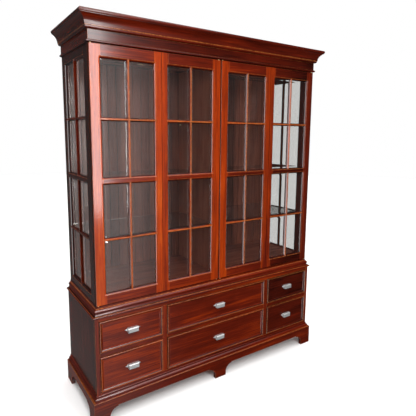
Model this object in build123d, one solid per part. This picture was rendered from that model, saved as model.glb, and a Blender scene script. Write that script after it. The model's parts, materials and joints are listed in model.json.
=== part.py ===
from build123d import *
import os

# China cabinet with four glazed doors over six drawers, in two pieces.
# +Z up, doors face -Y, origin on the floor under the middle of the outer box. Millimetres.

# ---- upper case ----
case_width = 1576.0        # over the side frames
case_depth = 496.0         # door faces to the back
datum_set = 4.0            # mouldings' front datum, behind the door faces
frame_t = 22.0             # side frames, partition
floor_lift = 39.0          # display floor above the base top
floor_t = 18.0
ceiling_t = 20.0
back_t = 12.0              # beaded back boards
groove_pitch = 56.0
groove_w = 3.2
groove_deep = 2.6
side_front_stile = 73.0
side_back_stile = 54.0
side_top_rail = 54.0
side_bottom_rail = 49.0

# ---- doors ----
door_h = 1336.8
door_t = 22.0
door_gap_low = 4.3
door_gap_top = 3.9
door_gap_back = 2.0
centre_gap = 6.0
meeting_gap = 2.0
hinge_stile = 57.5
meeting_stile = 41.0
door_top_rail = 65.1
door_bottom_rail = 58.7
mid_rail_h = 40.0
mid_rail_up = 660.7        # door bottom to the middle of the mid rail
pin_in = 11.0              # pivot centre from the door's hinge edge
pin_back = 6.0             # pivot centre behind the door face
pin_r = 3.0
pin_clear = 0.05
pin_reach = 12.0
pin_seat = 9.0
bush_r = 5.0
bush_len = 14.0
heel_r = 8.0               # rounded back edge beside the pivot
nose_r = 2.5

# ---- glazing ----
stick_w = 10.0             # moulded inner edge
stick_deep = 14.0
groove_y = 14.5            # glass groove behind the face
glass_t = 4.0
glass_hold = 5.0
glass_clear = 0.5
glass_bevel = 13.0
bar_w = 19.0               # glazing bar over its bevels
bar_nose = 7.0
bar_set = 1.2
bar_web = 6.0
bar_back_w = 13.0
bar_back_t = 3.5

# ---- shelves and fittings ----
shelf_t = 8.0
shelf_side_gap = 2.0
shelf_front = 45.0
shelf_back_gap = 2.0
peg_r = 3.0
peg_out = 11.0
light_r = 34.0
light_t = 11.0
catch_w = 42.0
catch_h = 13.0
catch_d = 34.0
strike_w = 30.0
strike_h = 9.0
strike_t = 1.5

# ---- head and crown ----
bead_h = 13.0
bead_out = 12.0
head_depth = 44.0
frieze_h = 48.0
frieze_out = 4.0
frieze_t = 18.0
crown_h = 80.0
crown_out = 55.0
crown_board_t = 18.0

# ---- base ----
base_out = 17.8            # base case beyond the upper case
base_board_t = 20.0
waist_h = 57.0
waist_out = 28.0
waist_in = 26.0            # waist moulding under the upper case
top_board_t = 22.0
top_rail_w = 60.0
plinth_h = 125.0
plinth_t = 23.2
plinth_mould_h = 30.0
case_drop = 45.0           # case walls run down inside the plinth
apron_z = 78.0
corner_foot = 87.0
middle_foot = 81.6
foot_rise = 25.0
bracket_reach = 47.0
bracket_top = 72.0
outer_stile = 22.4
mid_stile = 27.1
side_drawer_w = 377.7
lower_rail = 12.3
low_drawer_h = 204.6
drawer_rail = 23.3
high_drawer_h = 179.0
upper_rail = 19.8
base_back_t = 8.0

# ---- drawers ----
drawer_gap = 2.5
front_t = 20.0
field_set = 1.0
ring_w = 20.0
ring_out = 8.0
box_inset = 8.0
box_t = 12.0
box_depth = 420.0
box_low = 4.0
box_high = 22.0
box_floor_t = 6.0
box_floor_up = 8.0
runner_gap = 0.5
runner_t = 15.0
pull_w = 59.0
pull_h = 26.0
pull_out = 15.0
pull_wall = 2.2
pull_round = 7.0
plate_t = 1.6
ear_span = 93.0
screw_span = 74.0

# ---- levels ----
base_z0 = plinth_h + plinth_mould_h
low_z0 = base_z0 + lower_rail
low_z1 = low_z0 + low_drawer_h
high_z0 = low_z1 + drawer_rail
high_z1 = high_z0 + high_drawer_h
base_z1 = high_z1 + upper_rail
top_z = base_z1 + waist_h
door_z0 = top_z + door_gap_low
door_z1 = door_z0 + door_h
head_z = door_z1 + door_gap_top
bead_z1 = head_z + bead_h
frieze_z1 = bead_z1 + frieze_h
crown_z1 = frieze_z1 + crown_h
floor_z = top_z + floor_lift
ceiling_z = head_z - ceiling_t
mid_z = door_z0 + mid_rail_up

# ---- plan ----
half = case_width / 2
y_back = (case_depth - datum_set + crown_out) / 2
y_door = y_back - case_depth
y_datum = y_door + datum_set
y_case = y_door + door_t + door_gap_back
y_base = y_datum - base_out
y_carcass = y_base + base_board_t
base_half = half + base_out
inner_half = base_half - base_board_t
door_w = (case_width - centre_gap - 2 * meeting_gap) / 4
side_x0 = -base_half + outer_stile
side_x1 = side_x0 + side_drawer_w
mid_x1 = side_x1 + mid_stile


def box(x0, x1, y0, y1, z0, z1):
    """Upright block between two corners."""
    size = (x1 - x0, y1 - y0, z1 - z0)
    return Pos(x0, y0, z0) * Box(*size, align=(Align.MIN, Align.MIN, Align.MIN))


def rod(x, y, z0, z1, r):
    """Round rod standing on z0."""
    return Pos(x, y, z0) * Cylinder(r, z1 - z0, align=(Align.CENTER, Align.CENTER, Align.MIN))


def outline(points, place):
    """Flat face from corners; a step of two points is an arc through the first to the second."""
    edges, here = [], points[0]
    for step in points[1:]:
        if isinstance(step[0], tuple):
            via, end = step
            edges.append(ThreePointArc(place(*here), place(*via), place(*end)))
        else:
            end = step
            edges.append(Line(place(*here), place(*end)))
        here = end
    edges.append(Line(place(*here), place(*points[0])))
    return Face(Wire(edges))


def surround(points):
    """Moulding round the front and both sides, mitred at the front corners: front, left, right."""
    reach = crown_out + 5
    turn = (-half, y_datum, 0)
    front = outline(points, lambda t, z: (-half - reach, y_datum - t, z))
    front = extrude(front, 2 * (half + reach), dir=(1, 0, 0))
    front = split(front, Plane(turn, z_dir=(1, -1, 0)), keep=Keep.TOP)
    front = split(front, Plane((half, y_datum, 0), z_dir=(-1, -1, 0)), keep=Keep.TOP)
    left = outline(points, lambda t, z: (-half - t, y_datum - reach, z))
    left = extrude(left, y_back - y_datum + reach, dir=(0, 1, 0))
    left = split(left, Plane(turn, z_dir=(1, -1, 0)), keep=Keep.BOTTOM)
    return [front, left, mirror(left, Plane.YZ)]


def ring(points, x0, x1, y, z0, z1):
    """Four mitred strips round a rectangle: u runs inward from its edge, v forward from y."""
    low = outline(points, lambda u, v: (x0, y - v, z0 + u))
    low = extrude(low, x1 - x0, dir=(1, 0, 0))
    low = split(low, Plane((x0, y, z0), z_dir=(1, 0, -1)), keep=Keep.TOP)
    low = split(low, Plane((x1, y, z0), z_dir=(-1, 0, -1)), keep=Keep.TOP)
    left = outline(points, lambda u, v: (x0 + u, y - v, z0))
    left = extrude(left, z1 - z0, dir=(0, 0, 1))
    left = split(left, Plane((x0, y, z0), z_dir=(-1, 0, 1)), keep=Keep.TOP)
    left = split(left, Plane((x0, y, z1), z_dir=(-1, 0, -1)), keep=Keep.TOP)
    high = mirror(low, Plane((0, 0, (z0 + z1) / 2), z_dir=(0, 0, 1)))
    right = mirror(left, Plane(((x0 + x1) / 2, 0, 0), z_dir=(1, 0, 0)))
    return [low, high, left, right]


def glazed_leaf(w, z0, z1, t, left, right, top, bottom):
    """Glazed frame with its face at y = 0 and its left edge at x = 0: boards, bars, panes."""
    rail0, rail1 = mid_z - mid_rail_h / 2, mid_z + mid_rail_h / 2
    x0, x1 = left, w - right
    lights = [(z0 + bottom, rail0), (rail1, z1 - top)]
    boards = [
        box(0, x0, 0, t, z0, z1),
        box(x1, w, 0, t, z0, z1),
        box(x0, x1, 0, t, z0, z0 + bottom),
        box(x0, x1, 0, t, rail0, rail1),
        box(x0, x1, 0, t, z1 - top, z1),
    ]
    stick = [
        (0, 2),
        (0, -1.2),
        ((stick_w * 0.7, -1.2 - (stick_deep - 1.2) * 0.42), (stick_w, -stick_deep)),
        (stick_w, 2),
    ]
    cuts, bars, panes = [], [], []
    for low, high in lights:
        cuts += ring(stick, x0 - stick_w, x1 + stick_w, 0, low - stick_w, high + stick_w)
        hold = glass_hold + glass_clear
        cuts.append(box(x0 - hold, x1 + hold, groove_y, groove_y + glass_t, low - hold, high + hold))
    for cut in cuts:
        boards = [board - cut for board in boards]
    nose, flank = bar_nose / 2, bar_w / 2
    web, tail = bar_web / 2, bar_back_w / 2
    y_tail = groove_y + glass_t
    bar = [(-nose, bar_set), (-flank, groove_y - 2), (-flank, groove_y), (-web, groove_y)]
    bar += [(-web, y_tail), (-tail, y_tail), (-tail, y_tail + bar_back_t)]
    bar += [(-u, v) for u, v in reversed(bar)]
    xm = (x0 + x1) / 2
    for low, high in lights:
        zm = (low + high) / 2
        post = outline(bar, lambda u, v: (xm + u, v, low - stick_w))
        post = extrude(post, high - low + 2 * stick_w, dir=(0, 0, 1)) - boards
        cross = outline(bar, lambda u, v: (x0 - stick_w, v, zm + u))
        cross = extrude(cross, x1 - x0 + 2 * stick_w, dir=(1, 0, 0)) - boards - post
        bars += [post, *cross.solids()]
        edge = web + glass_clear
        columns = [(x0 - glass_hold, xm - edge), (xm + edge, x1 + glass_hold)]
        rows = [(low - glass_hold, zm - edge), (zm + edge, high + glass_hold)]
        for a, b in columns:
            for c, d in rows:
                panes.append(pane(a, b, c, d))
    return boards, bars, panes


def pane(x0, x1, z0, z1):
    """Glass pane with a ground bevel round its face."""
    y0, y1 = groove_y, groove_y + glass_t
    rim = y0 + glass_t * 0.4
    level = Plane(((x0 + x1) / 2, y0, (z0 + z1) / 2), x_dir=(1, 0, 0), z_dir=(0, -1, 0))
    inner = level * Rectangle(x1 - x0 - 2 * glass_bevel, z1 - z0 - 2 * glass_bevel)
    outer = level.offset(y0 - rim) * Rectangle(x1 - x0, z1 - z0)
    return loft([outer.face(), inner.face()]) + box(x0, x1, rim, y1, z0, z1)


def place_side(shapes, right):
    """Turn leaf pieces to face outward on one side of the case."""
    if right:
        return [Pos(half, y_case, 0) * Rot(0, 0, 90) * s for s in shapes]
    return [mirror(Pos(half, y_case, 0) * Rot(0, 0, 90) * s, Plane.YZ) for s in shapes]


nodes = {}

# ---- plinth ----
z_low = plinth_h - case_drop
plinth_run = [(base_out, 0), (base_out, plinth_h), (base_out + plinth_t, plinth_h), (base_out + plinth_t, 0)]
front_board, left_board, _ = surround(plinth_run)
outer = half + base_out + plinth_t
y_plinth = y_datum - base_out - plinth_t


def arch(a, b, place):
    """Bracket-foot cut-out between two feet."""
    bend = (a + bracket_reach * 0.24, foot_rise + (bracket_top - foot_rise) * 0.62)
    back = (b - bracket_reach * 0.24, bend[1])
    points = [(a, -2), (a, foot_rise), (bend, (a + bracket_reach, bracket_top))]
    points += [(a + bracket_reach, apron_z), (b - bracket_reach, apron_z)]
    points += [(b - bracket_reach, bracket_top), (back, (b, foot_rise)), (b, -2)]
    return outline(points, place)


gap0, gap1 = middle_foot / 2, outer - corner_foot
cut = extrude(arch(gap0, gap1, lambda u, z: (u, y_plinth - 5, z)), plinth_t + 10, dir=(0, 1, 0))
front_board = front_board - [cut, mirror(cut, Plane.YZ)]
cut = arch(y_plinth + corner_foot, y_back - corner_foot, lambda u, z: (-outer - 5, u, z))
left_board = left_board - extrude(cut, plinth_t + 10, dir=(1, 0, 0))
back_rail = box(-inner_half, inner_half, y_back - base_board_t, y_back, z_low, low_z0 - base_board_t)
nodes["plinth"] = [front_board, left_board, mirror(left_board, Plane.YZ), back_rail]

lip = base_out + plinth_t - 1
nodes["plinth_moulding"] = surround([
    (base_out, plinth_h),
    (base_out, base_z0),
    ((base_out + 3.4, base_z0 - 1.2), (base_out + 4.4, base_z0 - 4)),
    (base_out + 4.4, base_z0 - 5.5),
    (base_out + 2.6, base_z0 - 7),
    (base_out + 2.6, base_z0 - 9),
    ((base_out + 9.6, base_z0 - 14), (base_out + 13, plinth_h + 5)),
    (base_out + 13, plinth_h + 3),
    (lip - 1.4, plinth_h + 2.2),
    (lip, plinth_h + 1),
    (lip, plinth_h),
])

# ---- base case ----
wall = box(-base_half, -inner_half, y_carcass, y_back, z_low, base_z1)
nodes["base_sides"] = [wall, mirror(wall, Plane.YZ)]
y_inside = y_back - base_back_t
nodes["base_bottom"] = [
    box(-inner_half, inner_half, y_carcass, y_inside, low_z0 - base_board_t, low_z0)
]
mid_x = side_x1 + mid_stile / 2
divider = box(mid_x - base_board_t / 2, mid_x + base_board_t / 2, y_carcass, y_inside, low_z0, base_z1)
nodes["drawer_dividers"] = [divider, mirror(divider, Plane.YZ)]
face = [
    box(-base_half, side_x0, y_base, y_carcass, z_low, base_z1),
    box(side_x1, mid_x1, y_base, y_carcass, low_z0, high_z1),
]
face += [mirror(piece, Plane.YZ) for piece in face]
face.append(box(side_x0, -side_x0, y_base, y_carcass, z_low, low_z0))
face.append(box(side_x0, -side_x0, y_base, y_carcass, high_z1, base_z1))
rail = box(side_x0, side_x1, y_base, y_carcass, low_z1, high_z0)
face += [rail, mirror(rail, Plane.YZ), box(mid_x1, -mid_x1, y_base, y_carcass, low_z1, high_z0)]
nodes["base_face_frame"] = face

y_runner = y_base + field_set + front_t + drawer_gap
bays = [
    (side_x0, side_x1, -inner_half, mid_x - base_board_t / 2),
    (mid_x1, -mid_x1, mid_x + base_board_t / 2, -mid_x - base_board_t / 2),
    (-side_x1, -side_x0, -mid_x + base_board_t / 2, inner_half),
]
levels = [(high_z0, high_z1), (low_z0, low_z1)]
runners = []
for x0, x1, w0, w1 in bays:
    for z0, _ in levels:
        top = z0 + box_low - runner_gap
        foot = max(top - runner_t, low_z0)
        runners.append(box(w0, x0 + box_inset + box_t, y_runner, y_inside, foot, top))
        runners.append(box(x1 - box_inset - box_t, w1, y_runner, y_inside, foot, top))
nodes["drawer_runners"] = runners

# ---- base top with its waist moulding ----
sub_z = top_z - top_board_t
top_x, top_y = half - waist_in, y_datum + waist_in
base_top = box(-top_x, top_x, top_y, y_back, sub_z, top_z)
ends = box(-top_x, -top_x + top_rail_w, top_y, y_back, base_z1, sub_z)
base_rails = [
    ends,
    mirror(ends, Plane.YZ),
    box(-top_x + top_rail_w, top_x - top_rail_w, top_y, top_y + top_rail_w, base_z1, sub_z),
    box(-top_x + top_rail_w, top_x - top_rail_w, y_back - top_rail_w, y_back, base_z1, sub_z),
]
nodes["base_top"] = [base_top, *base_rails]
nose = waist_out
waist = surround([
    (-waist_in, base_z1),
    (-waist_in, top_z),
    (2.5, top_z),
    (2.5, top_z - 10),
    (5, top_z - 12),
    ((12.6, top_z - 18.5), (13.8, top_z - 29)),
    (11.5, top_z - 31),
    ((11.8, top_z - 38), (14.5, top_z - 44.5)),
    (nose - 4.5, top_z - 44.5),
    (nose - 4.5, top_z - 47.5),
    ((nose - 0.1, base_z1 + 6), (nose - 2.8, base_z1 + 1)),
    (nose - 6, base_z1),
])
sides = (-1, 1)
axis_x = [half - pin_in, centre_gap / 2 + pin_in]
y_pin = y_door + pin_back
sockets = [rod(s * x, y_pin, top_z - pin_seat, top_z + 1, pin_r) for x in axis_x for s in sides]
nodes["waist_moulding"] = [waist[0] - sockets, *waist[1:]]

# ---- doors, hinged at the left, at the origin ----
boards, bars, panes = glazed_leaf(
    door_w, door_z0, door_z1, door_t, hinge_stile, meeting_stile, door_top_rail, door_bottom_rail
)
uprights = Axis.Z
heel_edge = boards[0].edges().filter_by(uprights).filter_by_position(Axis.X, -0.1, 0.1)
stile = fillet(heel_edge.sort_by(Axis.Y)[-1], min(heel_r, door_t / 2 - 1))
edge = stile.edges().filter_by(uprights).filter_by_position(Axis.X, -0.1, 0.1).sort_by(Axis.Y)[0]
stile = fillet(edge, nose_r)
stile = stile - rod(pin_in, pin_back, door_z0 - 1, door_z0 + bush_len, bush_r)
boards[0] = stile - rod(pin_in, pin_back, door_z1 - bush_len, door_z1 + 1, bush_r)
strike_x = door_w - meeting_stile / 2
strike_z = ceiling_z - catch_h / 2
strike = box(
    strike_x - strike_w / 2, strike_x + strike_w / 2, door_t - strike_t, door_t,
    strike_z - strike_h / 2, strike_z + strike_h / 2,
)
boards = [board - strike for board in boards]
bush = rod(pin_in, pin_back, door_z0, door_z0 + bush_len, bush_r)
bush = bush - rod(pin_in, pin_back, door_z0 - 1, door_z0 + bush_len + 1, pin_r + pin_clear)
fittings = [bush, Pos(0, 0, door_h - bush_len) * bush, strike]
door = {"frame": boards, "bars": bars, "glass": panes, "fittings": fittings}
for k, (start, turned) in enumerate([
    (-half, False),
    (-centre_gap / 2, True),
    (centre_gap / 2, False),
    (half, True),
]):
    for kind, pieces in door.items():
        if turned:
            pieces = [mirror(p, Plane.YZ) for p in pieces]
        nodes[f"door_{k + 1}_{kind}"] = [Pos(start, y_door, 0) * p for p in pieces]

# ---- side frames ----
side_w = y_back - y_case
boards, bars, panes = glazed_leaf(
    side_w, top_z, head_z, frame_t, side_front_stile, side_back_stile, side_top_rail, side_bottom_rail
)
nodes["side_frames"] = place_side(boards, False) + place_side(boards, True)
nodes["side_bars"] = place_side(bars, False) + place_side(bars, True)
nodes["side_glass"] = place_side(panes, False) + place_side(panes, True)

# ---- inside of the upper case ----
inside = half - frame_t
y_panel = y_back - back_t
cleat = box(-inside, inside, y_case, y_case + frame_t, top_z, floor_z - floor_t)
rear = box(-inside, inside, y_panel - frame_t, y_panel, top_z, floor_z - floor_t)
nodes["display_floor"] = [box(-inside, inside, y_case, y_panel, floor_z - floor_t, floor_z), cleat, rear]
nodes["ceiling"] = [box(-inside, inside, y_case, y_panel, ceiling_z, head_z)]
nodes["centre_partition"] = [box(-frame_t / 2, frame_t / 2, y_case, y_panel, floor_z, ceiling_z)]
board_z1 = crown_z1 - crown_board_t
panel = box(-inside, 0, y_panel, y_back, top_z, board_z1)
count = int((inside - frame_t) / groove_pitch)
first = (-inside - count * groove_pitch) / 2
grooves = []
for k in range(count + 1):
    x = first + k * groove_pitch
    vee = [(x - groove_w / 2, y_panel - 1), (x - groove_w / 2, y_panel), (x, y_panel + groove_deep)]
    vee += [(x + groove_w / 2, y_panel), (x + groove_w / 2, y_panel - 1)]
    grooves.append(extrude(outline(vee, lambda u, v: (u, v, floor_z)), ceiling_z - floor_z, dir=(0, 0, 1)))
panel = panel - grooves
low_back = box(-inner_half, inner_half, y_inside, y_back, low_z0 - base_board_t, base_z1)
nodes["back_panels"] = [panel, mirror(panel, Plane.YZ), low_back]

shelf_x0, shelf_x1 = -inside + shelf_side_gap, -frame_t / 2 - shelf_side_gap
shelf_y0, shelf_y1 = y_case + shelf_front, y_panel - shelf_back_gap
low_mid = (door_z0 + door_bottom_rail + mid_z - mid_rail_h / 2) / 2
high_mid = (mid_z + mid_rail_h / 2 + door_z1 - door_top_rail) / 2
shelves, pegs = [], []
for z in (low_mid, mid_z, high_mid):
    sheet = box(shelf_x0, shelf_x1, shelf_y0, shelf_y1, z - shelf_t / 2, z + shelf_t / 2)
    shelves += [sheet, mirror(sheet, Plane.YZ)]
    for y in (shelf_y0 + 25, shelf_y1 - 25):
        low = z - shelf_t / 2 - peg_r
        left = Pos(-inside, y, low) * Rot(0, 90, 0) * Cylinder(peg_r, peg_out)
        left = Pos(peg_out / 2, 0, 0) * left
        right = Pos(-frame_t / 2 - peg_out / 2, y, low) * Rot(0, 90, 0) * Cylinder(peg_r, peg_out)
        pegs += [left, right, mirror(left, Plane.YZ), mirror(right, Plane.YZ)]
nodes["glass_shelves"] = shelves
nodes["shelf_pegs"] = pegs

bay_x = (inside + frame_t / 2) / 2
bay_y = (y_case + y_panel) / 2
lights = []
for s in sides:
    case = rod(s * bay_x, bay_y, ceiling_z - light_t, ceiling_z, light_r)
    rim = case.edges().filter_by(GeomType.CIRCLE).sort_by(Axis.Z)[0]
    case = fillet(rim, 3) - rod(s * bay_x, bay_y, ceiling_z - light_t - 1, ceiling_z - 4, light_r - 8)
    lens = rod(s * bay_x, bay_y, ceiling_z - light_t + 1, ceiling_z - 4, light_r - 8)
    lights += [case, lens]
nodes["ceiling_lights"] = lights

catches = []
for start, way in ((-half, 1), (-centre_gap / 2, -1), (centre_gap / 2, 1), (half, -1)):
    x = start + way * strike_x
    catches.append(
        box(x - catch_w / 2, x + catch_w / 2, y_case, y_case + catch_d, ceiling_z - catch_h, ceiling_z)
    )
nodes["door_catches"] = catches

# ---- pivots ----
pins = []
for s in sides:
    for x in axis_x:
        pins.append(rod(s * x, y_pin, top_z - pin_seat, door_z0 + pin_reach, pin_r))
        pins.append(rod(s * x, y_pin, door_z1 - pin_reach, head_z + pin_seat, pin_r))
nodes["pivot_pins"] = pins

# ---- head: bead, frieze, crown ----
bead = surround([
    (-frame_t, head_z),
    (bead_out - bead_h / 2, head_z),
    ((bead_out, head_z + bead_h / 2), (bead_out - bead_h / 2, bead_z1)),
    (-frame_t, bead_z1),
])
back_strip = box(-inside, inside, y_datum + frame_t, y_datum + head_depth, head_z, bead_z1)
sockets = [rod(s * x, y_pin, head_z - 1, head_z + pin_seat, pin_r) for x in axis_x for s in sides]
bead[0] = bead[0] - sockets
frieze = surround([
    (frieze_out - frieze_t, bead_z1),
    (frieze_out, bead_z1),
    (frieze_out, frieze_z1),
    (frieze_out - frieze_t, frieze_z1),
])
nodes["frieze"] = [*bead, back_strip, *frieze]
c, z = crown_out, frieze_z1
nodes["crown_moulding"] = surround([
    (frieze_out - frieze_t, z),
    (frieze_out + 3, z),
    ((16, z + 3), (18.5, z + 10)),
    (18.5, z + 12),
    (21, z + 13.5),
    (21, z + 16),
    ((c - 25.5, z + 42), (c - 6, z + 60)),
    (c - 4, z + 60.5),
    (c - 4, z + 63),
    ((c - 0.1, z + 70), (c - 3.5, crown_z1)),
    (frieze_out - frieze_t, crown_z1),
])
lid = half + frieze_out - frieze_t
nodes["crown_board"] = [box(-lid, lid, y_datum - frieze_out + frieze_t, y_back, board_z1, crown_z1)]

# ---- drawers ----
strip = [(0, 0), (0, ring_out - 2.4), ((2, ring_out - 0.4), (4.6, ring_out)), (6.6, ring_out - 0.6)]
strip += [(7.4, ring_out - 2.6), ((11, 2.4), (ring_w - 2, 1.6)), (ring_w - 1, 0)]


def pull(x, y, z):
    """Low cup pull: a round-topped hood open below, on a thin plate with a screw in each ear."""
    r, wall = pull_w / 2, pull_wall

    def hood(x0, x1, out, low, top, bend):
        """Solid of the hood's side shape between two ends."""
        way = bend * 0.293
        side = [(0, low), (out, low), (out, top - bend), ((out - way, top - way), (out - bend, top)), (0, top)]
        return extrude(outline(side, lambda v, w: (x0, -plate_t - v, w)), x1 - x0, dir=(1, 0, 0))

    cup = hood(-r, r, pull_out, 0, pull_h, pull_round)
    cup = cup - hood(-r + wall, r - wall, pull_out - wall, -1, pull_h - wall, pull_round - wall)
    ear, eye = ear_span / 2, pull_h * 0.6
    right = [(r + 1, pull_h), ((r + 5, pull_h - 4), (ear, eye)), ((r + 5, eye - 6), (r + 1, eye - 9))]
    left = [(-r - 1, eye - 9), ((-r - 5, eye - 6), (-ear, eye)), ((-r - 5, pull_h - 4), (-r - 1, pull_h))]
    shape = [right[0], *right[1:], (r + 1, -0.6), (-r - 1, -0.6), left[0], *left[1:]]
    plate = extrude(outline(shape, lambda u, v: (u, -plate_t, v)), plate_t, dir=(0, 1, 0))
    dome = scale(Sphere(2.9) & box(-3, 3, -3, 0, -3, 3), by=(1, 0.5, 1))
    screws = [Pos(s * screw_span / 2, -plate_t, eye) * dome for s in sides]
    return [Pos(x, y, z) * piece for piece in (cup, plate, *screws)]


name = 0
for z0, z1 in levels:
    for x0, x1, _, _ in bays:
        name += 1
        a, b, c, d = x0 + drawer_gap, x1 - drawer_gap, z0 + drawer_gap, z1 - drawer_gap
        y0 = y_base + field_set
        y1 = y0 + front_t
        slab = box(a, b, y0, y1, c, d)
        nodes[f"drawer_{name}_front"] = [slab, *ring(strip, a, b, y0, c, d)]
        left, right = x0 + box_inset, x1 - box_inset
        low, high, end = z0 + box_low, z1 - box_high, y1 + box_depth
        floor0 = low + box_floor_up
        nodes[f"drawer_{name}_box"] = [
            box(left, left + box_t, y1, end, low, high),
            box(right - box_t, right, y1, end, low, high),
            box(left + box_t, right - box_t, end - box_t, end, low, high),
            box(left + box_t, right - box_t, y1, end - box_t, floor0, floor0 + box_floor_t),
        ]
        nodes[f"drawer_{name}_pull"] = pull((x0 + x1) / 2, y0, (z0 + z1) / 2 - pull_h / 2)

os.makedirs("parts", exist_ok=True)
for node, pieces in nodes.items():
    solids = [s for piece in pieces for s in piece.solids()]
    export_step(Compound(children=solids), f"parts/{node}.step")
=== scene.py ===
import json
import math
import random

import bmesh
import bpy
from mathutils import Matrix, Vector


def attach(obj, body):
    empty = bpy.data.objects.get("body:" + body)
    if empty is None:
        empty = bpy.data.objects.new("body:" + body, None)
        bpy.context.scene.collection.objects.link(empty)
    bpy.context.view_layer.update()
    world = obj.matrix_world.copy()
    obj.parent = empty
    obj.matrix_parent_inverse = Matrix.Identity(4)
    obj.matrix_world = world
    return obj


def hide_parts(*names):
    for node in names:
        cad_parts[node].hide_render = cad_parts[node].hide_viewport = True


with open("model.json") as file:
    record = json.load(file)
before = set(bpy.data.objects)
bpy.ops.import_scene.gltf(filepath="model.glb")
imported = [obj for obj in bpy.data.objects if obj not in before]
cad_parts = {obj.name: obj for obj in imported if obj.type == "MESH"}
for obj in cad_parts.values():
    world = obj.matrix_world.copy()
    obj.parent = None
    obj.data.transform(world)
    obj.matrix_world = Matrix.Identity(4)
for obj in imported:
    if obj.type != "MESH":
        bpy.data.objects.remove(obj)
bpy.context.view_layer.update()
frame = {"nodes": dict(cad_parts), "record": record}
nodes = frame["nodes"]
record = frame["record"]
body_of = {n: b for b, names in record["behaviour"]["bodies"].items() for n in names}


# ---- materials ----
class Tree:
    """A material's nodes, made with few words."""

    def __init__(self, name):
        self.mat = bpy.data.materials.new(name)
        self.mat.use_nodes = True
        self.nt = self.mat.node_tree
        self.shader = self.nt.nodes["Principled BSDF"]

    def add(self, kind, inputs=None, **settings):
        node = self.nt.nodes.new("ShaderNode" + kind)
        for key, value in settings.items():
            setattr(node, key, value)
        for key, value in (inputs or {}).items():
            self.put(node.inputs[key], value)
        return node

    def put(self, socket, value):
        if hasattr(value, "is_output"):
            self.nt.links.new(value, socket)
        else:
            socket.default_value = value

    def set(self, **inputs):
        for key, value in inputs.items():
            self.put(self.shader.inputs[key.replace("_", " ")], value)

    def math(self, op, a, b=0.0, c=0.0, clamp=False):
        node = self.add("Math", {0: a, 1: b, 2: c}, operation=op, use_clamp=clamp)
        return node.outputs[0]

    def noise(self, vector, scale, detail=2.0, rough=0.5, distort=0.0):
        inputs = {"Vector": vector, "Scale": scale, "Detail": detail, "Roughness": rough}
        return self.add("TexNoise", {**inputs, "Distortion": distort}).outputs["Fac"]

    def stretch(self, vector, x, y, z):
        return self.add("VectorMath", {0: vector, 1: (x, y, z)}, operation="MULTIPLY").outputs[0]

    def ramp(self, fac, *stops):
        node = self.add("ValToRGB", {0: fac})
        while len(node.color_ramp.elements) < len(stops):
            node.color_ramp.elements.new(0.5)
        for element, (at, colour) in zip(node.color_ramp.elements, stops):
            element.position = at
            element.color = (*colour, 1) if isinstance(colour, tuple) else (colour, colour, colour, 1)
        return node.outputs[0]

    def mix(self, fac, a, b, blend="MIX"):
        node = self.add("Mix", data_type="RGBA", blend_type=blend)
        for socket, value in zip((node.inputs[0], node.inputs[6], node.inputs[7]), (fac, a, b)):
            self.put(socket, (*value, 1) if isinstance(value, tuple) and len(value) == 3 else value)
        return node.outputs[2]

    def bump(self, height, strength, distance):
        inputs = {"Height": height, "Strength": strength, "Distance": distance}
        return self.add("Bump", inputs).outputs[0]


def wood(name, dark, main, light, gold, edge_marks, wear, rough, coat, coat_rough=0.17):
    """Figured wood under polish, with its grain along the third of the board's own coordinates."""
    t = Tree(name)
    grain = t.add("Attribute", attribute_name="grain").outputs["Vector"]
    tone_and_painted_light = t.add("Attribute", attribute_name="tone_and_painted_light").outputs["Fac"]
    wear_and_painted_shade = t.add("Attribute", attribute_name="wear_and_painted_shade").outputs["Fac"]
    figure = t.noise(t.stretch(grain, 1, 1, 0.09), 22, 4, 0.55, 0.6)
    streak = t.noise(t.stretch(grain, 1, 1, 0.025), 190, 3, 0.6, 0.2)
    pores = t.noise(t.stretch(grain, 1, 1, 0.03), 900, 2, 0.5)
    mottle = t.noise(t.stretch(grain, 1, 1, 0.5), 9, 2, 0.5)

    # Colour: the noises average 0.575 in all, which is taken off so that the tone, with its painted light
    # and shade, sets the mean.
    mixed = t.math("MULTIPLY_ADD", streak, 0.5, t.math("MULTIPLY", mottle, 0.15))
    mixed = t.math("MULTIPLY_ADD", figure, 0.5, mixed)
    mixed = t.math("ADD", t.math("MULTIPLY_ADD", mixed, 1.0, -0.59), tone_and_painted_light)
    colour = t.ramp(mixed, (0.05, dark), (0.4, main), (0.65, light), (0.95, gold))
    fleck = t.ramp(pores, (0.30, 1.0), (0.40, 0.0))
    colour = t.mix(t.math("MULTIPLY", fleck, 0.6), colour, dark)

    # Edges above 0 are rubbed through in patches; below 0 they are darkened as painted shade in recesses
    # and gaps.
    scuff = t.noise(grain, 160, 4, 0.65)
    scuff = t.ramp(scuff, (0.62 - wear * 0.28, 0.0), (0.72 - wear * 0.2, 1.0))
    rub = t.math("MULTIPLY", t.math("MAXIMUM", wear_and_painted_shade, 0.0), scuff)
    colour = t.mix(t.math("MULTIPLY", rub, 0.85), colour, edge_marks)
    painted_shade = t.math("MAXIMUM", t.math("MULTIPLY", wear_and_painted_shade, -1.0), 0.0)
    colour = t.mix(t.math("MULTIPLY", painted_shade, 0.85), colour, tuple(c * 0.5 for c in dark))
    t.set(Base_Color=colour, Coat_Weight=coat, Coat_Roughness=coat_rough, Coat_IOR=1.5)
    t.set(Roughness=t.math("MULTIPLY_ADD", streak, 0.16, rough), Specular_IOR_Level=0.02)

    # Relief: sunken pores, fine streaks and a slow swell, softer in the polish.
    swell = t.noise(t.stretch(grain, 1, 1, 0.35), 24, 2, 0.5)
    lift = t.math("MULTIPLY_ADD", streak, 0.35, t.math("MULTIPLY", swell, 1.2))
    lift = t.math("MULTIPLY_ADD", fleck, -0.25, lift)
    polish = t.math("MULTIPLY_ADD", streak, 0.2, swell)
    t.set(Normal=t.bump(lift, 0.35, 0.0006), Coat_Normal=t.bump(polish, 0.2, 0.0006))
    return t.mat


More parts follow.
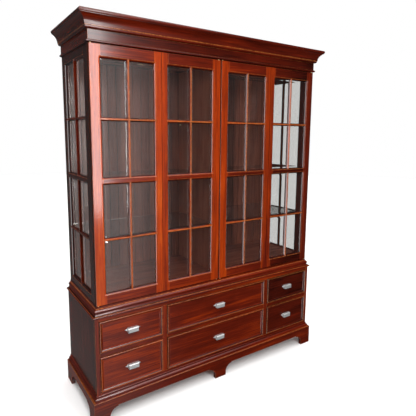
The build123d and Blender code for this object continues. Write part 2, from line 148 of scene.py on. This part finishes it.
def metal(name, colour, dark, rough, metallic=1.0):
    t = Tree(name)
    place = t.add("TexCoord").outputs["Object"]
    cloud = t.noise(place, 90, 4, 0.6)
    fine = t.noise(t.stretch(place, 0.2, 1, 1), 1800, 2, 0.5)
    tarnish = t.ramp(t.noise(place, 240, 4, 0.6), (0.45, 0.0), (0.75, 1.0))
    t.set(Base_Color=t.mix(t.math("MULTIPLY", tarnish, 0.5), colour, dark), Metallic=metallic)
    t.set(Roughness=t.math("MULTIPLY_ADD", cloud, 0.2, t.math("MULTIPLY_ADD", fine, 0.08, rough)))
    t.set(Normal=t.bump(t.math("MULTIPLY_ADD", fine, 0.3, cloud), 0.25, 0.0004))
    return t.mat


def glass(name, tint, haze):
    """Clear glass that lets lamps through, with a little dust."""
    t = Tree(name)
    place = t.add("TexCoord").outputs["Object"]
    dust = t.noise(place, 14, 5, 0.65)
    t.set(Base_Color=(*tint, 1), Roughness=0.0, IOR=1.5)
    t.set(Transmission_Weight=t.math("MULTIPLY_ADD", dust, -haze, 1.0))
    clear = t.add("BsdfTransparent", {"Color": (*tint, 1)})
    path = t.add("LightPath")
    mix = t.add("MixShader")
    t.put(mix.inputs[0], t.math("MAXIMUM", path.outputs["Is Shadow Ray"], path.outputs["Is Diffuse Ray"]))
    t.nt.links.new(t.shader.outputs[0], mix.inputs[1])
    t.nt.links.new(clear.outputs[0], mix.inputs[2])
    t.nt.links.new(mix.outputs[0], t.nt.nodes["Material Output"].inputs[0])
    return t.mat


def plain(name, colour, rough, grit):
    t = Tree(name)
    place = t.add("TexCoord").outputs["Object"]
    cloud = t.noise(place, 60, 4, 0.6)
    t.set(Base_Color=t.mix(cloud, colour, tuple(c * 0.8 for c in colour)), Roughness=rough)
    t.set(Normal=t.bump(t.noise(place, 2500, 2, 0.5), grit, 0.0002))
    return t.mat


mahogany = wood("mahogany", (0.012, 0.0012, 0.0005), (0.115, 0.0085, 0.0015), (0.34, 0.034, 0.001),
                (0.62, 0.12, 0.008), (0.46, 0.14, 0.03), 0.8, 0.4, 0.55)
inner = wood("mahogany_inside", (0.03, 0.009, 0.005), (0.2, 0.052, 0.029), (0.35, 0.11, 0.06),
             (0.4, 0.15, 0.085), (0.2, 0.07, 0.03), 0.2, 0.45, 1.0, 0.24)
drawer_wood = wood("drawer_wood", (0.24, 0.13, 0.06), (0.42, 0.26, 0.14), (0.56, 0.38, 0.21),
                   (0.66, 0.48, 0.29), (0.6, 0.45, 0.28), 0.3, 0.5, 0.1)
pewter = metal("pewter", (0.44, 0.44, 0.44), (0.2, 0.2, 0.2), 0.34, 0.7)
brass = metal("brass", (0.78, 0.55, 0.25), (0.35, 0.22, 0.1), 0.24)
pane_glass = glass("pane_glass", (0.81, 0.81, 0.8), 0.012)
catch_plastic = plain("catch_plastic", (0.03, 0.022, 0.018), 0.5, 0.3)


# ---- boards from the CAD solids ----
SHARP = math.radians(32)  # edges turned by more than this are eased
SMOOTH = math.radians(28)  # faces turned by less than this shade as one
FLAT = math.radians(0.3)  # faces turned by less than this are joined


def cad_solids(mesh):
    """The node's closed solids: its faces in order, cut wherever every edge has met its twin."""
    ids, places = {}, []
    keys = []
    for v in mesh.vertices:
        key = tuple(round(c, 6) for c in v.co)
        if key not in ids:
            ids[key] = len(places)
            places.append(v.co.copy())
        keys.append(ids[key])
    solids, run, loose = [], [], set()
    for face in mesh.polygons:
        ring = [keys[i] for i in face.vertices]
        if len(set(ring)) < 3:
            continue
        for a, b in zip(ring, ring[1:] + ring[:1]):
            if (b, a) in loose:
                loose.remove((b, a))
            else:
                loose.add((a, b))
        run.append(ring)
        if not loose:
            solids.append(run)
            run = []
    return solids, places, len(run)


def board(ring_list, places, width):
    """One welded board with its sharp edges eased."""
    bm = bmesh.new()
    made = {}
    for ring in ring_list:
        for k in ring:
            if k not in made:
                made[k] = bm.verts.new(places[k])
        try:
            bm.faces.new([made[k] for k in ring])
        except ValueError:
            pass
    bmesh.ops.dissolve_limit(bm, angle_limit=FLAT, verts=bm.verts, edges=bm.edges)
    mark = bm.faces.layers.int.new("eased")
    if width:
        sharp = [e for e in bm.edges if len(e.link_faces) == 2 and e.calc_face_angle() > SHARP]
        got = bmesh.ops.bevel(bm, geom=sharp, offset=width, segments=2, profile=0.6,
                              affect="EDGES", clamp_overlap=True)
        for face in got["faces"]:
            face[mark] = 1
    return bm


def banded(depth, *bands):
    """Wear (above 0) or painted shade (below 0) of faces whose depth lies in a band."""
    def accent(middle):
        here = depth(middle)
        return next((value for low, high, value in bands if low <= here <= high), 0.0)
    return accent


def level_faces(mesh, limit):
    """Corner normals weighted by area, so a broad face stays flat up to its eased edges."""
    around = [[] for _ in mesh.vertices]
    for face in mesh.polygons:
        for v in face.vertices:
            around[v].append(face.index)
    normals = [face.normal.copy() for face in mesh.polygons]
    areas = [face.area for face in mesh.polygons]
    corners = []
    for face in mesh.polygons:
        own = normals[face.index]
        for v in face.vertices:
            total = own * areas[face.index]
            for other in around[v]:
                if other != face.index and own.dot(normals[other]) > limit:
                    total = total + normals[other] * areas[other]
            corners.append(total.normalized() if total.length else own)
    mesh.normals_split_custom_set(corners)


def wooden(node, material, width, tone_and_painted_light=lambda axis: 0.5, spread=0.16,
           accent=lambda middle: 0.0, painted_light=lambda place: 0.0):
    """Replaces a CAD node by its boards with eased edges, each with its own grain and tone, with painted
    light in the tone and painted shade in the edge marks.
    """
    rng = random.Random(node)
    solids, places, left_over = cad_solids(nodes[node].data)
    if left_over:
        raise RuntimeError(f"{node}: {left_over} faces belong to no closed solid")
    verts, faces, grain, shade, edge_marks = [], [], [], [], []
    for rings in solids:
        bm = board(rings, places, width)
        span = [max(v.co[i] for v in bm.verts) - min(v.co[i] for v in bm.verts) for i in range(3)]
        axis = span.index(max(span))
        others = [i for i in range(3) if i != axis]
        shift = Vector([rng.uniform(-3, 3) for _ in range(3)])
        value = tone_and_painted_light(axis) + rng.uniform(-spread, spread)
        start = len(verts)
        bm.verts.index_update()
        for v in bm.verts:
            verts.append(v.co.copy())
            grain.append(Vector((v.co[others[0]], v.co[others[1]], v.co[axis])) + shift)
            shade.append(value + painted_light(v.co))
        mark = bm.faces.layers.int["eased"]
        for f in bm.faces:
            faces.append([start + v.index for v in f.verts])
            extra = accent(f.calc_center_median())
            # Below 0 is painted shade from the bands; above 0, wear on the bands and on the eased edges.
            edge_marks.append(extra if extra < 0 else max(extra, float(f[mark])))
        bm.free()
    mesh = bpy.data.meshes.new(node + "_boards")
    mesh.from_pydata(verts, [], faces)
    flat = [c for g in grain for c in g]
    mesh.attributes.new("grain", "FLOAT_VECTOR", "POINT").data.foreach_set("vector", flat)
    mesh.attributes.new("tone_and_painted_light", "FLOAT", "POINT").data.foreach_set("value", shade)
    mesh.attributes.new("wear_and_painted_shade", "FLOAT", "FACE").data.foreach_set("value", edge_marks)
    mesh.shade_smooth()
    level_faces(mesh, math.cos(SMOOTH))
    mesh.materials.append(material)
    piece = bpy.data.objects.new(node + "_boards", mesh)
    bpy.context.scene.collection.objects.link(piece)
    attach(piece, body_of[node])
    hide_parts(node)


def front_of(name):
    """Foremost y of a node."""
    return min(v.co.y for v in nodes[name].data.vertices)


def top_of(name):
    """Greatest z of a node."""
    return max(v.co.z for v in nodes[name].data.vertices)


def flanks_of(name):
    """Least and greatest x of a node."""
    xs = [v.co.x for v in nodes[name].data.vertices]
    return min(xs), max(xs)


def set_back(name, *bands):
    """Bands of wear and painted shade by how far a face lies behind the node's front."""
    front = front_of(name)
    return banded(lambda middle: middle.y - front, *bands)


def set_down(name, *bands):
    """Bands of wear and painted shade by how far a face lies below the node's top."""
    top = top_of(name)
    return banded(lambda middle: top - middle.z, *bands)


def leaf_accent(name):
    """Worn step of the moulded edges, with painted shade on their foot and on the edges in the gaps
    between leaves.
    """
    left, right = flanks_of(name)
    sticking = set_back(name, (0.0001, 0.0019, 0.7), (0.0066, 0.0145, -1.0))

    def accent(middle):
        in_gap = min(middle.x - left, right - middle.x) < 0.0012
        return -0.9 if in_gap else sticking(middle)
    return accent


def even(level):
    """The same tone for every board of a node."""
    return lambda axis: level


def stiles_painted_brighter(axis):
    """Painted sheen: door stiles, with upright grain, are toned brighter than door rails."""
    return 0.62 if axis == 2 else 0.42


# Painted shade: boards are toned darker towards the right, as the light falls off.
def painted_shade_to_right(place):
    return -0.4 * max(place.x, 0.0)


# Tones from 0, dark, to 1, golden. Bands are (from, to, wear above 0 or painted shade below 0), in
# metres.
# Drawer tones, partly painted shade: drawers where less light falls are toned darker.
DRAWER_TONE_AND_SHADE = {"drawer_1": 0.45, "drawer_2": 0.4, "drawer_3": 0.14,
                "drawer_4": 0.5, "drawer_5": 0.4, "drawer_6": 0.28}
MOULDING_TONES = {"waist_moulding": 0.34, "plinth_moulding": 0.34, "plinth": 0.36,
                  "frieze": 0.22, "crown_moulding": 0.26}
# Moulding bands below 0 are painted shade in the gaps and under beads and lips.
MOULDING_BANDS = {
    "waist_moulding": (
        (-0.0025, 0.0025, -1.0), (0.0098, 0.0125, 0.9), (0.02852, 0.0315, -1.0),
        (0.0441, 0.045, -1.0), (0.0451, 0.0476, 1.0), (0.0548, 0.057, -0.6)),
    "plinth_moulding": ((0.0058, 0.0093, -0.9), (0.0275, 0.0296, 0.5)),
    "crown_moulding": ((0.0165, 0.0205, -0.5), (0.0635, 0.069, 0.8), (0.0785, 0.08, -0.7)),
    "frieze": ((0.0475, 0.0485, -0.6), (0.0595, 0.0612, -0.8)),
}
SHOW_EDGE, FINE_EDGE, PLAIN_EDGE, BAR_EDGE = 0.0012, 0.001, 0.0008, 0.0005  # eased widths
INSIDE = ("display_floor", "ceiling", "centre_partition", "base_bottom",
          "drawer_dividers", "crown_board", "base_top")


def side_frame_looks(name):
    """Dark outside as painted shade, with painted shade on the moulded edges, and brighter inside the
    case as painted light.
    """
    outer = flanks_of(name)[1]
    painted_shade_bands = banded(lambda middle: outer - abs(middle.x), (0.0092, 0.0145, -0.8))
    wooden(name, mahogany, SHOW_EDGE, even(0.04), 0.03, painted_shade_bands,
           lambda place: 0.3 if abs(place.x) < outer - 0.012 else 0.0)


def own_shape(name, material):
    """Keeps the CAD shape and only gives it a material."""
    mesh = nodes[name].data
    mesh.materials.clear()
    mesh.materials.append(material)


for name in nodes:
    if name.startswith("door") and name.endswith("_frame"):
        wooden(name, mahogany, SHOW_EDGE, stiles_painted_brighter, 0.05, leaf_accent(name), painted_shade_to_right)
    elif name.startswith("door") and name.endswith("_bars"):
        # Worn nose of the bars, painted shade on their flanks.
        accent = set_back(name, (0, 0.0012, 0.8), (0.0052, 0.0125, -1.0))
        wooden(name, mahogany, BAR_EDGE, even(0.5), 0.08, accent)
    elif name == "side_bars":
        # Painted shade: the bars of the side glass are toned darker than those of the doors.
        wooden(name, mahogany, BAR_EDGE, even(0.2), 0.06)
    elif name.endswith("_front"):
        # Worn ridge of the drawer ring, painted shade on the slope below it.
        accent = set_back(name, (0.0001, 0.0022, 0.6), (0.0023, 0.0058, -1.0))
        wooden(name, mahogany, PLAIN_EDGE, even(DRAWER_TONE_AND_SHADE[name[:-len("_front")]]), 0.03, accent)
    elif name.endswith("_box") or name == "drawer_runners":
        wooden(name, drawer_wood, PLAIN_EDGE)
    elif name == "base_sides":
        # Painted shade: the base sides are toned dark.
        wooden(name, mahogany, SHOW_EDGE, even(0.12), 0.03)
    elif name == "side_frames":
        side_frame_looks(name)
    elif name == "base_face_frame":
        # Painted shade on all that is set back behind the front.
        wooden(name, mahogany, FINE_EDGE, even(0.44), 0.05, set_back(name, (0.0015, 0.1, -1.0)))
    elif name in MOULDING_TONES:
        accent = set_down(name, *MOULDING_BANDS.get(name, ()))
        wooden(name, mahogany, FINE_EDGE, even(MOULDING_TONES[name]), 0.05, accent)
    elif name == "back_panels":
        # Painted shade in the grooves between the boards.
        wooden(name, inner, 0.0, even(0.5), 0.1, set_back(name, (0.0001, 0.0025, -0.95)))
    elif name in INSIDE:
        wooden(name, inner, PLAIN_EDGE)
    elif name.endswith("_glass") or name == "glass_shelves":
        own_shape(name, pane_glass)
        nodes[name].data.shade_flat()
    elif name.endswith("_pull"):
        own_shape(name, pewter)
    elif name == "door_catches":
        own_shape(name, catch_plastic)
    else:
        own_shape(name, brass)

# ---- floor, light, camera ----
scene = bpy.context.scene


def area(name, place, aim, size, power, colour=(1, 1, 1)):
    data = bpy.data.lights.new(name, "AREA")
    data.shape = "RECTANGLE"
    data.size, data.size_y = size
    data.energy = power
    data.color = colour
    lamp = bpy.data.objects.new(name, data)
    lamp.location = place
    lamp.rotation_euler = (Vector(aim) - Vector(place)).to_track_quat("-Z", "Y").to_euler()
    scene.collection.objects.link(lamp)
    return lamp


def floor():
    """Pale studio floor."""
    bm = bmesh.new()
    bmesh.ops.create_circle(bm, cap_ends=True, segments=64, radius=14)
    mesh = bpy.data.meshes.new("floor")
    bm.to_mesh(mesh)
    bm.free()
    t = Tree("floor")
    place = t.add("TexCoord").outputs["Object"]
    cloud = t.noise(place, 1.2, 3, 0.5)
    t.set(Base_Color=t.mix(cloud, (0.97, 0.97, 0.97), (0.95, 0.95, 0.95)), Roughness=0.75)
    mesh.materials.append(t.mat)
    ground = bpy.data.objects.new("floor", mesh)
    ground.visible_diffuse = False
    ground.visible_glossy = False
    ground.visible_transmission = False
    scene.collection.objects.link(ground)


def lamps():
    """A key from the left that lights, and a tall strip that polish and glass mirror."""
    key = area("key", (-1.05, -1.7, 2.0), (-0.35, 0, 1.1), (0.7, 0.9), 24.5, (1, 0.98, 0.96))
    key.visible_glossy = False
    area("tall_strip", (0.15, -3.0, 1.9), (0.15, 0, 1.9), (0.19, 2.6), 54)


SKY, SKY_POWER = 3.6, 5.0  # light from overhead and how narrow it is
FILL = 1.0  # light from the right and from the rear
BAND, BAND_WAY = 1.4, (0.139, -0.99, 0)  # a soft upright band in front, and its direction
WINDOW, LEFT = 7.0, 13.0  # a high window in front, and a bright wall far to the left
GROUND, BEHIND, DARK = 0.14, 0.09, 0.01  # the floor behind, the rear, and everywhere else


def studio():
    """White for the camera and through glass, and soft light with dark surroundings for the rest."""
    world = bpy.data.worlds.new("studio")
    scene.world = world
    world.use_nodes = True
    t = world.node_tree
    path = t.nodes.new("ShaderNodeLightPath").outputs

    def node(kind, op, *values):
        made = t.nodes.new("ShaderNode" + kind)
        made.operation = op
        if op == "MULTIPLY_ADD":
            made.use_clamp = True
        for socket, value in zip(made.inputs, values):
            if hasattr(value, "is_output"):
                t.links.new(value, socket)
            else:
                socket.default_value = value
        return made.outputs["Vector" if kind == "VectorMath" and op != "DOT_PRODUCT" else "Value"]

    place = t.nodes.new("ShaderNodeTexCoord").outputs["Generated"]
    split = t.nodes.new("ShaderNodeSeparateXYZ")
    t.links.new(place, split.inputs[0])
    across, along, height = (split.outputs[axis] for axis in "XYZ")

    def fade(value, start, end):
        """0 at start, 1 at end."""
        slope = 1 / (end - start)
        return node("Math", "MULTIPLY_ADD", value, slope, -start * slope)

    def product(first, *rest):
        for value in rest:
            first = node("Math", "MULTIPLY", first, value)
        return first

    def total(first, *rest):
        for value in rest:
            first = node("Math", "ADD", first, value)
        return first

    # Light on dull surfaces.
    overhead = node("Math", "MAXIMUM", height, 0.0)
    sky = node("Math", "POWER", overhead, SKY_POWER)
    fill = node("Math", "MAXIMUM", fade(across, 0.2, 0.9), fade(along, 0.2, 0.9))
    lit = total(product(sky, SKY), product(fill, FILL))

    # What polish and glass mirror.
    level = node("VectorMath", "NORMALIZE", node("VectorMath", "MULTIPLY", place, (1, 1, 0)))
    facing = node("VectorMath", "DOT_PRODUCT", level, BAND_WAY)
    band = product(fade(facing, 0.93, 1.0), BAND)
    window = product(fade(height, 0.42, 0.56), fade(height, 0.97, 0.85),
                     fade(across, 0.62, 0.34), fade(along, 0.05, -0.25), WINDOW)
    from_left = product(fade(across, -0.72, -0.9), fade(along, 0.15, -0.2),
                        fade(height, 0.6, 0.2), LEFT)
    ground = product(fade(height, 0.0, -0.6), fade(along, 0.0, 0.4), GROUND)
    behind = product(fade(along, 0.5, 0.85), BEHIND)
    shine = total(band, window, from_left, ground, behind, DARK)

    # Each kind of ray gets its own of the three.
    glossy = path["Is Glossy Ray"]
    dull = node("Math", "SUBTRACT", 1.0, glossy)
    lit = total(product(dull, lit), product(glossy, shine))
    straight = product(node("Math", "LESS_THAN", path["Diffuse Depth"], 0.5),
                       node("Math", "LESS_THAN", path["Glossy Depth"], 0.5))
    through = product(path["Is Transmission Ray"], straight)
    seen = node("Math", "MAXIMUM", path["Is Camera Ray"], through)
    hidden = node("Math", "SUBTRACT", 1.0, seen)
    light = total(seen, product(hidden, lit))
    back = t.nodes["Background"]
    back.inputs[0].default_value = (1, 1, 1, 1)
    t.links.new(light, back.inputs[1])


EYE = (-1.4247, -2.2052, 1.5546)
YAW, PITCH, ROLL = (math.radians(angle) for angle in (-34.0, -8.05, 0.5))
LENS, SENSOR, SHIFT_Y = 34.6, 36, -0.0387


def photo_camera():
    """Camera at the left, at eye height."""
    camera = bpy.data.objects.new("camera", bpy.data.cameras.new("camera"))
    camera.data.sensor_width = SENSOR
    camera.data.lens = LENS
    camera.data.shift_y = SHIFT_Y
    level = math.cos(PITCH)
    ahead = Vector((-math.sin(YAW) * level, math.cos(YAW) * level, math.sin(PITCH)))
    right = Vector((math.cos(YAW), math.sin(YAW), 0))
    up = right.cross(ahead)
    across = right * math.cos(ROLL) + up * math.sin(ROLL)
    above = up * math.cos(ROLL) - right * math.sin(ROLL)
    turn = Matrix((across, above, -ahead)).transposed().to_4x4()
    camera.matrix_world = Matrix.Translation(EYE) @ turn
    scene.collection.objects.link(camera)
    scene.camera = camera


floor()
lamps()
studio()
photo_camera()
scene.view_settings.view_transform = "Standard"
